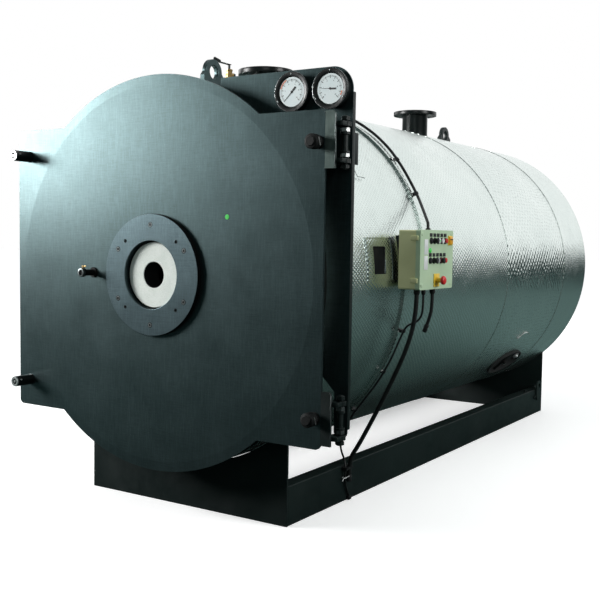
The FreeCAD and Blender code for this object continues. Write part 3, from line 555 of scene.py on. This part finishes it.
sleeves, caps, cores, screws = Shape(), Shape(), Shape(), Shape()
for z in (1.640, 0.548):
    foot = Vector((-0.805, DOOR_Y, z))
    sleeves.lathe(foot, -Y, [(0, 0.0), (0, 0.0265), (0.004, 0.0265), (0.0045, 0.0255), (0.094, 0.0255),
        (0.096, 0.0245), (0.096, 0.0)], 40)
    caps.lathe(foot - Y * 0.096, -Y, [(0, 0.0245), (0.004, 0.0245), (0.006, 0.0230), (0.006, 0.0145),
        (0.003, 0.0135), (0.0, 0.0135)], 40)
    # black disc down each end ring's bore: painted shade of the bore
    cores.rod(foot - Y * 0.0962, foot - Y * 0.0985, 0.0135, 0)
    screws.rod(foot - Y * 0.098, foot - Y * 0.1025, 0.006, 0.001)
    screws.rod(foot + Vector((0.0235, -0.080, 0.008)), foot + Vector((0.0275, -0.080, 0.0095)), 0.0045,
        0.0008)
sleeves.done("closer_sleeves", enamel, "door", "closer_black", ["door_closers"])
caps.done("closer_end_rings", zinc, "door", "zinc")
cores.done("closer_ring_bore_shade", soot_and_painted_shade, "door", "closer_black")
screws.done("closer_screws", zinc, "door", "zinc")

knobs, knob_glints = Shape(), Shape()
for z in (1.640, 0.548):
    foot = Vector((0.851, DOOR_Y, z))
    knobs.lathe(foot, -Y, [(0, 0), (0, 0.0265), (0.004, 0.0265), (0.006, 0.0235), (0.020, 0.0235),
        (0.022, 0.030), (0.054, 0.030), (0.058, 0.027), (0.060, 0.020), (0.062, 0.019), (0.064, 0.0175),
        (0.064, 0)], 40)
    # zinc slash on each knob's side stands in for the glint on its rim: painted highlight
    slash = [Vector((0.0290, -0.050, 0.016)), Vector((0.0290, -0.044, 0.016)),
        Vector((0.0290, -0.030, -0.016)), Vector((0.0290, -0.036, -0.016))]
    knob_glints.prism([foot + point for point in slash], (0, 0, 0), X * 0.0018, 0.0004)
knobs.done("closer_knobs", matte_black, "door", "closer_black")
knob_glints.done("closer_knob_painted_glints", zinc, "door", "zinc")

port = Vector((-0.370, DOOR_Y, DOOR_Z))
Shape().lathe(port, -Y, [(0, 0), (0, 0.024), (0.006, 0.024), (0.008, 0.022), (0.008, 0.015), (0.060, 0.014),
    (0.061, 0.019), (0.074, 0.019)], 36).done(
    "sight_port_tube", matte_black, "door", "closer_black", ["sight_port"])
Shape().lathe(port - Y * 0.072, -Y, [(0, 0.0185), (0.001, 0.0205), (0.011, 0.0205), (0.012, 0.019),
    (0.012, 0.0125), (0.006, 0.0125)], 36).done(
    "sight_port_ring", gunmetal, "door", "zinc")
Shape().rod(port - Y * 0.077, port - Y * 0.079, 0.0125).done("sight_port_glass", soot_and_painted_shade, "door",
    "closer_black")
cock = Shape().rod(port + Vector((0, -0.066, 0.015)), port + Vector((0, -0.066, 0.030)), 0.0045)
cock.rod(port + Vector((0, -0.066, 0.024)), port + Vector((0, -0.066, 0.033)), 0.0075, 0.001, 6)
cock.rod(port + Vector((0.004, -0.066, 0.029)), port + Vector((0.016, -0.066, 0.029)), 0.0035, 0.0005)
cock.done("sight_port_cock", brass, "door", "brass")


# ---- hinges ----------------------------------------------------------------------------------

HINGE = Vector((0.937, -0.159, 0))
for tag, low, high in (("upper", 1.538, 1.761), ("lower", 0.441, 0.659)):
    inner_low, inner_high = low + 0.045, high - 0.063
    outer_low, outer_high = low + 0.017, high - 0.035
    arms = Shape().box((0.917, -0.151, inner_low), (0.933, -0.119, inner_high), 0.001)
    arms.rod(HINGE + Z * (inner_low + 0.016), HINGE + Z * (inner_low + 0.026), 0.0190, 0.001, 32)
    arms.rod(HINGE + Z * (inner_high - 0.026), HINGE + Z * (inner_high - 0.016), 0.0190, 0.001, 32)
    for z in (outer_low - 0.016, outer_high):
        arms.rod(HINGE + Z * z, HINGE + Z * (z + 0.016), 0.0190, 0.0015, 6, math.radians(30))
    arms.done(tag + "_hinge_arms", dark, "boiler", "base_paint", [tag + "_hinge_bracket"])
    # pins in dark base paint rather than zinc: painted shade
    Shape().rod(HINGE + Z * (outer_low - 0.019), HINGE + Z * (outer_high + 0.019), 0.0108, 0.001, 32).done(
        tag + "_hinge_pin", dark, "boiler", "zinc", [tag + "_hinge_bracket"])
    # upper bar in the lighter hinge paint, lower bar in dark base paint: painted light on the upper bar,
    # painted shade on the lower
    bar = Shape().prism([(0.882, 0, low), (0.928, 0, low), (0.928, 0, high - 0.012), (0.918, 0, high),
        (0.882, 0, high)], (0, -0.219, 0), Y * 0.010, 0.0028)
    bar.done(tag + "_hinge_bar", lit_hinge_paint if tag == "upper" else dark, "door", "door_paint",
        [tag + "_hinge_leaf"])
    Shape().box((0.9262, -0.2196, low + 0.002), (0.9284, -0.2120, high - 0.014), 0.0006).done(
        tag + "_hinge_bar_edge", gunmetal, "door", "zinc")
    # lugs in dark base paint rather than the door's paint: painted shade
    lugs = Shape()
    for z in (outer_low + 0.005, outer_high - 0.023):
        lugs.box((0.888, -0.209, z), (0.955, -0.1725, z + 0.018), 0.0012)
        lugs.box((0.900, -0.1735, z), (0.922, -0.150, z + 0.018), 0.0012)
        lugs.ring(HINGE + Z * z, Z, 0.0113, 0.0238, 0.018, 40, 0.0008)
    lugs.done(tag + "_hinge_lugs", dark, "door", "door_paint", [tag + "_hinge_leaf"])
    # lower nuts in gunmetal, upper nuts in zinc: painted shade on the lower nuts
    nuts = Shape()
    for z in (inner_low, inner_high - 0.016):
        nuts.rod(HINGE + Z * z, HINGE + Z * (z + 0.016), 0.0190, 0.0015, 6, math.radians(30))
    nuts.done(tag + "_hinge_nuts", zinc if tag == "upper" else gunmetal, "boiler", "zinc",
        [tag + "_hinge_bracket"])

edge = Shape().box((0.9465, -0.1195, 0.500), (0.9478, -0.0975, 1.842), 0.0003)
edge.box((0.9465, -0.0980, 1.559), (0.9478, -0.0715, 1.685), 0.0003)
edge.done("panel_edge_trim", dark, "boiler", "base_paint")

studs = Shape()
for z in (0.600, 0.560, 0.482):
    studs.rod((0.915, -0.119, z), (0.915, -0.127, z), 0.0085, 0.001, 6)
studs.done("panel_leg_studs", gunmetal, "boiler", "zinc")


# ---- gauges ----------------------------------------------------------------------------------

def gauge(tag, x, needle_deg, arc):
    centre = Vector((x, -0.157, 1.856))
    Shape().lathe(centre + Y * 0.038, -Y, [(0, 0), (0, 0.074), (0.024, 0.074), (0.026, 0.079),
        (0.034, 0.0812), (0.038, 0.0808), (0.0395, 0.079), (0.0395, 0.066), (0.036, 0.0605),
        (0.034, 0.0600), (0.034, 0)], 64).done(tag + "_gauge_case", enamel, "boiler", "gauge_case",
        [tag + "_gauge"])
    Shape().lathe(centre, -Y, [(0.0008, 0.0813), (0.0020, 0.0811), (0.0023, 0.0803), (0.0016, 0.0797)],
        64).done(tag + "_gauge_rim", rim_metal, "boiler", "zinc")
    face = centre + Y * 0.0035
    Shape().rod(face, face - Y * 0.0006, 0.0598, 0, 64).done(tag + "_gauge_dial", dial_white, "boiler",
        "gauge_case")
    ticks, marks = Shape(), Shape()
    for i in range(51):
        a = math.radians(225 - 270 * i / 50)
        inner = 0.046 if i % 5 else 0.041
        width = 0.0005 if i % 5 else 0.0011
        out, side = Vector((math.cos(a), 0, math.sin(a))), Vector((-math.sin(a), 0, math.cos(a)))
        corners = [out * inner - side * width, out * 0.052 - side * width, out * 0.052 + side * width,
            out * inner + side * width]
        ticks.prism(corners, face - Y * 0.0006, -Y * 0.0003)
    for i in range(24):
        a, b = (math.radians(arc[0] + (arc[1] - arc[0]) * k / 24) for k in (i, i + 1))
        first, second = Vector((math.cos(a), 0, math.sin(a))), Vector((math.cos(b), 0, math.sin(b)))
        marks.prism([first * 0.0525, first * 0.0575, second * 0.0575, second * 0.0525], face - Y * 0.0006,
            -Y * 0.0003)
    a = math.radians(needle_deg)
    out, side = Vector((math.cos(a), 0, math.sin(a))), Vector((-math.sin(a), 0, math.cos(a)))
    needle = [out * 0.050, out * 0.002 + side * 0.0014, -out * 0.012 + side * 0.0034,
        -out * 0.026 + side * 0.0034, -out * 0.026 - side * 0.0034, -out * 0.012 - side * 0.0034,
            out * 0.002 - side * 0.0014]
    ticks.prism(needle, face - Y * 0.0016, -Y * 0.0008)
    ticks.rod(face - Y * 0.0006, face - Y * 0.0030, 0.0050, 0.0006)
    for i in range(0, 11, 2):
        digits(ticks, str(i), face - Y * 0.0007, 225 - 27 * i, 0.0335, 0.0085)
    ticks.done(tag + "_gauge_scale", ink, "boiler", "gauge_case")
    marks.done(tag + "_gauge_zone", orange, "boiler", "gauge_case")
    heads = Shape()
    for degrees in (90, 330, 210):
        a = math.radians(degrees)
        spot = centre + Vector((math.cos(a), 0, math.sin(a))) * 0.0725
        heads.lathe(spot - Y * 0.0010, -Y, [(0, 0.0036), (0.0014, 0.0034), (0.0018, 0.0024), (0.0018, 0)],
            16)
    heads.done(tag + "_gauge_screws", gunmetal, "boiler", "zinc")


def digits(shape, text, face, degrees, radius, size):
    """Scale number as a flat mesh, facing the front."""
    curve = bpy.data.curves.new("digits", "FONT")
    curve.body, curve.size, curve.align_x, curve.align_y = text, size, "CENTER", "CENTER"
    curve.resolution_u = 2
    guide = bpy.data.objects.new("digits", curve)
    bpy.context.scene.collection.objects.link(guide)
    bpy.context.view_layer.update()
    mesh = bpy.data.meshes.new_from_object(guide)
    a = math.radians(degrees)
    middle = face + Vector((math.cos(a), 0, math.sin(a))) * radius
    for vert in mesh.vertices:
        vert.co = middle + Vector((vert.co.x, 0, vert.co.y))
    shape.bm.from_mesh(mesh)
    bpy.data.objects.remove(guide)
    bpy.data.curves.remove(curve)
    bpy.data.meshes.remove(mesh)


gauge("left", 0.680, 226.0, (118.0, 165.0))
gauge("right", 0.862, 176.0, (-30.0, -12.0))


# ---- top fittings ----------------------------------------------------------------------------

VENT = Vector((0, 0.318, 0))
body = Shape().lathe(VENT + Z * (AXIS_Z + SHELL_R), Z, [(0, 0), (0, 0.016), (0.010, 0.016), (0.012, 0.011),
    (0.084, 0.011), (0.086, 0.0175), (0.098, 0.0175), (0.102, 0.0155), (0.114, 0.0155), (0.118, 0.0175),
    (0.124, 0.0175), (0.124, 0)], 6)
body.rod(VENT + Vector((0, 0, 2.056)), VENT + Vector((0, 0.030, 2.056)), 0.0085, 0.001)
body.done("vent_valve_body", brass, "boiler", "brass", ["vent_valve"])
lever = Shape().rod(VENT + Z * 2.076, VENT + Z * 2.100, 0.006)
lever.box(VENT + Vector((-0.008, -0.080, 2.100)), VENT + Vector((0.008, 0.008, 2.104)), 0.001)
lever.rod(VENT + Vector((0, -0.118, 2.114)), VENT + Vector((0, -0.072, 2.106)), 0.0075, 0.003)
lever.rod(VENT + Vector((0, 0.028, 2.056)), VENT + Vector((0, 0.044, 2.056)), 0.009, 0.002)
lever.done("vent_valve_lever", enamel, "boiler", "closer_black")


# ---- control box -----------------------------------------------------------------------------

FACE = 1.000


def on_face(y, z, out=0.0):
    return Vector((FACE + out, y, z))


collars, tabs = Shape(), Shape()
caps = {"black": Shape(), "white": Shape(), "green": Shape(), "red": Shape(), "grey": Shape(),
    "dark_red": Shape()}
rows = [
    (1.262, [(0.520, "black", 0.008), (0.558, "black", 0.022), (0.596, "white", 0.012),
    (0.634, "white", 0.012), (0.672, "red", 0.014)]),
    (1.172, [(0.516, "black", 0.008), (0.554, "black", 0.022), (0.592, "grey", 0.012),
    (0.630, "black", 0.022), (0.668, "red", 0.014)]),
]
for z, row in rows:
    for y, colour, reach in row:
        collars.lathe(on_face(y, z), X, [(0, 0), (0, 0.0148), (0.004, 0.0148), (0.006, 0.0135),
            (0.006, 0.0118), (0.0045, 0.0115)], 28)
        caps[colour].rod(on_face(y, z, 0.001), on_face(y, z, reach), 0.0112, 0.0015, 28)
        tabs.box(on_face(y - 0.0135, z + 0.018, 0), on_face(y + 0.0135, z + 0.034, 0.0022), 0.0006)
caps["green"].rod(on_face(0.596, 1.262, 0.0118), on_face(0.596, 1.262, 0.0126), 0.0045, 0, 16)
caps["dark_red"].ring(on_face(0.630, 1.172, 0.0062), X, 0.0114, 0.0136, 0.0012, 28)
collars.done("button_collars", nylon, "boiler", "button_black", ["push_buttons"])
tabs.done("button_legend_plates", nylon, "boiler", "button_black")
for colour, material in (("black", nylon), ("white", white), ("green", green), ("red", red), ("grey", grey),
    ("dark_red", dark_red)):
    caps[colour].done(colour + "_button_caps", material, "boiler", "button_black")

Shape().box(on_face(0.706, 1.242, 0), on_face(0.750, 1.286, 0.005), 0.0015).done("lamp_frame", yellow,
    "boiler", "estop")
lamp = Shape().box(on_face(0.710, 1.246, 0.004), on_face(0.746, 1.282, 0.010), 0.002)
lamp.done("lamp_lens", amber, "boiler", "estop")
Shape().box(on_face(0.712, 1.266, 0.0095), on_face(0.744, 1.271, 0.0108), 0.0004).done("lamp_bar", nylon,
    "boiler", "button_black")
Shape().lathe(on_face(0.513, 1.218), X, [(0, 0.012), (0.002, 0.012), (0.004, 0.010), (0.006, 0.006),
    (0.0068, 0)], 28).done("green_lamp", green, "boiler", "estop")

Shape().box(on_face(0.556, 1.052, 0), on_face(0.616, 1.112, 0.004), 0.0015).done("stop_plate", yellow,
    "boiler", "estop", ["emergency_stop"])
Shape().lathe(on_face(0.586, 1.082), X, [(0.003, 0.015), (0.010, 0.015), (0.012, 0.0115), (0.028, 0.0115)],
    28).done("stop_stem", yellow, "boiler", "estop")
Shape().lathe(on_face(0.586, 1.082), X, [(0.026, 0), (0.026, 0.012), (0.030, 0.019), (0.036, 0.020),
    (0.042, 0.019), (0.045, 0.0155), (0.0462, 0.009), (0.0465, 0)], 40).done("stop_mushroom", red, "boiler",
    "estop")

plates = Shape()
plates.box(on_face(0.452, 1.200, 0), on_face(0.490, 1.268, 0.0012), 0.0004)
plates.box(on_face(0.452, 1.132, 0), on_face(0.490, 1.194, 0.0012), 0.0004)
plates.done("blank_label_plates", white, "boiler")
lid = Shape()
for y in (0.430, 0.748):
    for z in (1.062, 1.290):
        lid.lathe(on_face(y, z), X, [(0, 0.0085), (0.002, 0.0082), (0.0026, 0.0072), (0.0026, 0.0)], 20)
lid.done("lid_screw_caps", moulding, "boiler", "box_plastic")
hinges = Shape()
for z in (1.072, 1.262):
    hinges.box((0.955, 0.404, z), (0.990, 0.413, z + 0.022), 0.002)
hinges.done("lid_hinges", moulding_body, "boiler", "box_plastic")

glands = Shape()
for point, radius in (((0.946, 0.497), 0.015), ((0.966, 0.526), 0.0105), ((0.962, 0.631), 0.014)):
    x, y = point
    glands.rod((x, y, 1.036), (x, y, 1.043), radius * 1.05, 0.001, 6)
    glands.lathe((x, y, 1.036), -Z, [(0, radius * 0.9), (0.003, radius * 0.92), (0.008, radius),
        (0.014, radius * 0.95), (0.021, radius * 0.72), (0.021, 0)], 24)
glands.rod((0.948, 0.598, 1.309), (0.948, 0.598, 1.314), 0.0130, 0.001, 6)
glands.lathe((0.948, 0.598, 1.314), Z, [(0, 0.0115), (0.002, 0.0122), (0.004, 0.011), (0.006, 0.0085),
    (0.006, 0)], 24)
glands.box((0.586, 0.516, 0.003), (0.602, 0.540, 0.021), 0.002)
glands.done("gland_nuts", nylon, "boiler", "clip_black", ["cable_glands"])

tie = Shape()
tie.box((0.586, 0.470, 0.118), (0.606, 0.484, 0.123), 0.001)
tie.tube([(0.604, 0.470, 0.121), (0.609, 0.460, 0.124), (0.610, 0.446, 0.122), (0.609, 0.436, 0.113)],
    0.0016, 6)
tie.tube([(0.604, 0.484, 0.121), (0.609, 0.494, 0.125), (0.611, 0.508, 0.126), (0.611, 0.520, 0.120)],
    0.0016, 6)
tie.done("cable_tie", white, "boiler")


# ---- drum fittings ---------------------------------------------------------------------------

screws = Shape()
for degrees, y in ((26.9, 0.766), (40.8, 0.768), (-16.3, 0.530), (-30.0, 0.526), (-46.6, 0.528)):
    out = on_drum(1, degrees, 0) - on_drum(0, degrees, 0)
    screws.lathe(on_drum(SHELL_R + 0.0085, degrees, y), out,
        [(0, 0.006), (0.004, 0.006), (0.006, 0.004), (0.006, 0)], 16)
screws.done("clip_screws", zinc, "boiler", "zinc")

recess = Shape()
arc = [on_drum(0.8624, math.degrees(math.asin((1.110 + 0.0253 * i - AXIS_Z) / 0.8624)),
    0) for i in range(6)]
recess.prism(arc + [point - X * 0.006 for point in reversed(arc)], Y * 0.2335, Y * 0.113)
recess.done("plate_recess", window_black, "boiler", "base_paint")

knob = Shape()
knob.rod(on_drum(0.874, -41.5, 2.640), on_drum(0.888, -41.5, 2.640), 0.022, 0.001, 6)
knob.rod(on_drum(0.886, -41.5, 2.640), on_drum(0.895, -41.5, 2.640), 0.010, 0.001)
knob.rod(on_drum(0.872, -47.0, 2.600), on_drum(0.880, -47.0, 2.600), 0.009, 0.001)
knob.done("hand_hole_nut", zinc, "boiler", "zinc")

wires = Shape()
wires.tube([(0.706, 0.304, 1.595), (0.726, 0.293, 1.568), (0.747, 0.283, 1.540)], 0.0016, 6)
wires.tube([(0.747, 0.283, 1.541), (0.747, 0.314, 1.541), (0.749, 0.345, 1.538)], 0.0016, 6)
wires.done("strap_end", gunmetal, "boiler", "zinc")
grip = Shape().tube([(0.748, 2.415, 0.641), (0.753, 2.429, 0.648), (0.761, 2.455, 0.661),
    (0.768, 2.486, 0.671), (0.770, 2.530, 0.673), (0.766, 2.575, 0.667), (0.757, 2.613, 0.655)], 0.0032, 8)
grip.done("small_grip", zinc, "boiler", "zinc")

# folded rim round the plate window
rim = Shape()
for low, high in (((0.179, 1.2690), (0.406, 1.2720)), ((0.179, 1.084), (0.406, 1.0865))):
    r = math.sqrt(0.869 ** 2 - ((low[1] + high[1]) / 2 - AXIS_Z) ** 2)
    rim.box((r - 0.003, low[0], low[1]), (r + 0.0030, high[0], high[1]))
for y in (0.179, 0.404):
    rim.tube([on_drum(0.8695, math.degrees(math.asin((z - AXIS_Z) / 0.869)), y + 0.001) for z in (1.084,
        1.13, 1.18, 1.23, 1.272)], 0.0014, 6)
rim.done("window_rim", fine_sheet, "boiler", "cladding")
Shape().box((0.8560, 0.3405, 1.116), (0.8625, 0.3445, 1.230)).done("window_edge", fine_sheet, "boiler",
    "cladding")

heads = Shape()
for y, z in ((3.262, 0.125), (3.262, 0.205)):
    heads.rod((0.586, y, z), (0.596, y, z), 0.012, 0.001, 6)
heads.rod((0.560, 3.150, 0.180), (0.560, 3.150, 0.190), 0.012, 0.001, 6)
heads.done("base_bolts", dark, "boiler", "base_paint")

# smoke-tube ends, seen when the door is open
ends, bores = Shape(), Shape()
for count, radius, start in ((24, 0.520, 0.0), (30, 0.625, 6.0), (36, 0.730, 0.0)):
    for across, high in circle(count, radius, start):
        ends.ring((across, -0.0965, AXIS_Z + high), Y, 0.0245, 0.0285, 0.0030, 20)
        bores.rod((across, -0.0948, AXIS_Z + high), (across, -0.0942, AXIS_Z + high), 0.0247, 0, 20)
ends.done("smoke_tube_ends", steel, "boiler", "drum_steel")
bores.done("smoke_tube_bores", soot_and_painted_shade, "boiler", "drum_steel")
Shape().ring((0, DOOR_Y + 0.012, DOOR_Z), Y, 0.806, 0.832, 0.012, 96, 0.004).done("door_seal", rope, "door",
    "refractory")


# ---- floor and light -------------------------------------------------------------------------

def ground(name, z, seen):
    """Level plane and its material's graph. Seen by the camera, or only in reflections."""
    mesh = bpy.data.meshes.new(name)
    mesh.from_pydata([(-60, -60, z), (60, -60, z), (60, 60, z), (-60, 60, z)], [], [(0, 1, 2, 3)])
    g = Graph(name, 0.9)
    mesh.materials.append(g.material)
    floor = bpy.data.objects.new(name, mesh)
    bpy.context.scene.collection.objects.link(floor)
    floor.visible_camera, floor.visible_shadow = seen, seen
    floor.visible_diffuse, floor.visible_glossy = not seen, not seen
    return g


g = ground("pale_floor", 0.0, True)
g.coloured((0.86, 0.86, 0.86), (0.88, 0.88, 0.88), 0.4)
away = g.add("ShaderNodeVectorMath", {0: g.place, 1: (0.0, 1.6, 0.0)},
    operation="DISTANCE").outputs["Value"]
g.set("Emission Color", (1.0, 1.0, 1.0))
g.set("Emission Strength", g.span(away, 2.6, 7.5, 0.45, 1.0))

g = ground("dark_mat", -0.001, False)
tone = g.coloured((0.26, 0.41, 0.39), (0.29, 0.45, 0.43), 0.4)
place_of = g.add("ShaderNodeSeparateXYZ", {"Vector": g.place}).outputs
# the mat is seen only in reflections; it is lighter to the front left and behind, darkest in front to the
# right: painted light and painted shade in the reflections
behind = g.span(place_of["Y"], 1.5, 4.5)
front_left = g.span(place_of["X"], -0.5, -2.0)
near = g.mix(front_left, (0.10, 0.17, 0.16), (0.40, 0.60, 0.58))
g.set("Base Color", g.mix(behind, near, tone))


def softbox(name, spot, aim, size, power, tint=(1, 1, 1)):
    light = bpy.data.lights.new(name, "AREA")
    light.shape, light.size, light.size_y = "RECTANGLE", size[0], size[1]
    light.energy, light.color = power, tint
    lamp = bpy.data.objects.new(name, light)
    bpy.context.scene.collection.objects.link(lamp)
    lamp.location = spot
    lamp.rotation_mode = "QUATERNION"
    lamp.rotation_quaternion = (Vector(aim) - Vector(spot)).to_track_quat("-Z", "Y")
    lamp.visible_camera = False


softbox("key", (-5.2, -3.3, 2.9), (-0.6, -0.2, 1.5), (2.4, 2.4), 545)
softbox("overhead", (0.5, 1.5, 6.0), (0, 1.5, 0), (6.0, 8.0), 150)
softbox("back", (1.0, 11.0, 5.3), (0.5, 2.0, 1.5), (16.0, 8.0), 400)
softbox("left_side", (-7.0, 3.0, 3.5), (0, 1.5, 1.0), (5.0, 3.0), 90)
softbox("right_side", (6.5, 1.2, 3.2), (0.9, 0.6, 1.0), (2.5, 2.5), 205)
softbox("front_fill", (4.5, -6.0, 3.5), (0.5, 0.0, 1.0), (3.0, 3.0), 55)

world = bpy.data.worlds.new("studio")
world.use_nodes = True
bpy.context.scene.world = world
tree = world.node_tree
background = tree.nodes["Background"]
lit = tree.nodes.new("ShaderNodeLightPath")
strength = tree.nodes.new("ShaderNodeMapRange")
strength.inputs["To Min"].default_value, strength.inputs["To Max"].default_value = 0.045, 1.0
tree.links.new(lit.outputs["Is Camera Ray"], strength.inputs["Value"])
tree.links.new(strength.outputs["Result"], background.inputs["Strength"])
shade = tree.nodes.new("ShaderNodeMix")
shade.data_type = "RGBA"
tree.links.new(lit.outputs["Is Camera Ray"], shade.inputs["Factor"])
shade.inputs[6].default_value, shade.inputs[7].default_value = (0.55, 1.0, 1.0, 1.0), (1.0, 1.0, 1.0, 1.0)
tree.links.new(shade.outputs[2], background.inputs["Color"])
bpy.context.scene.view_settings.view_transform = "Standard"
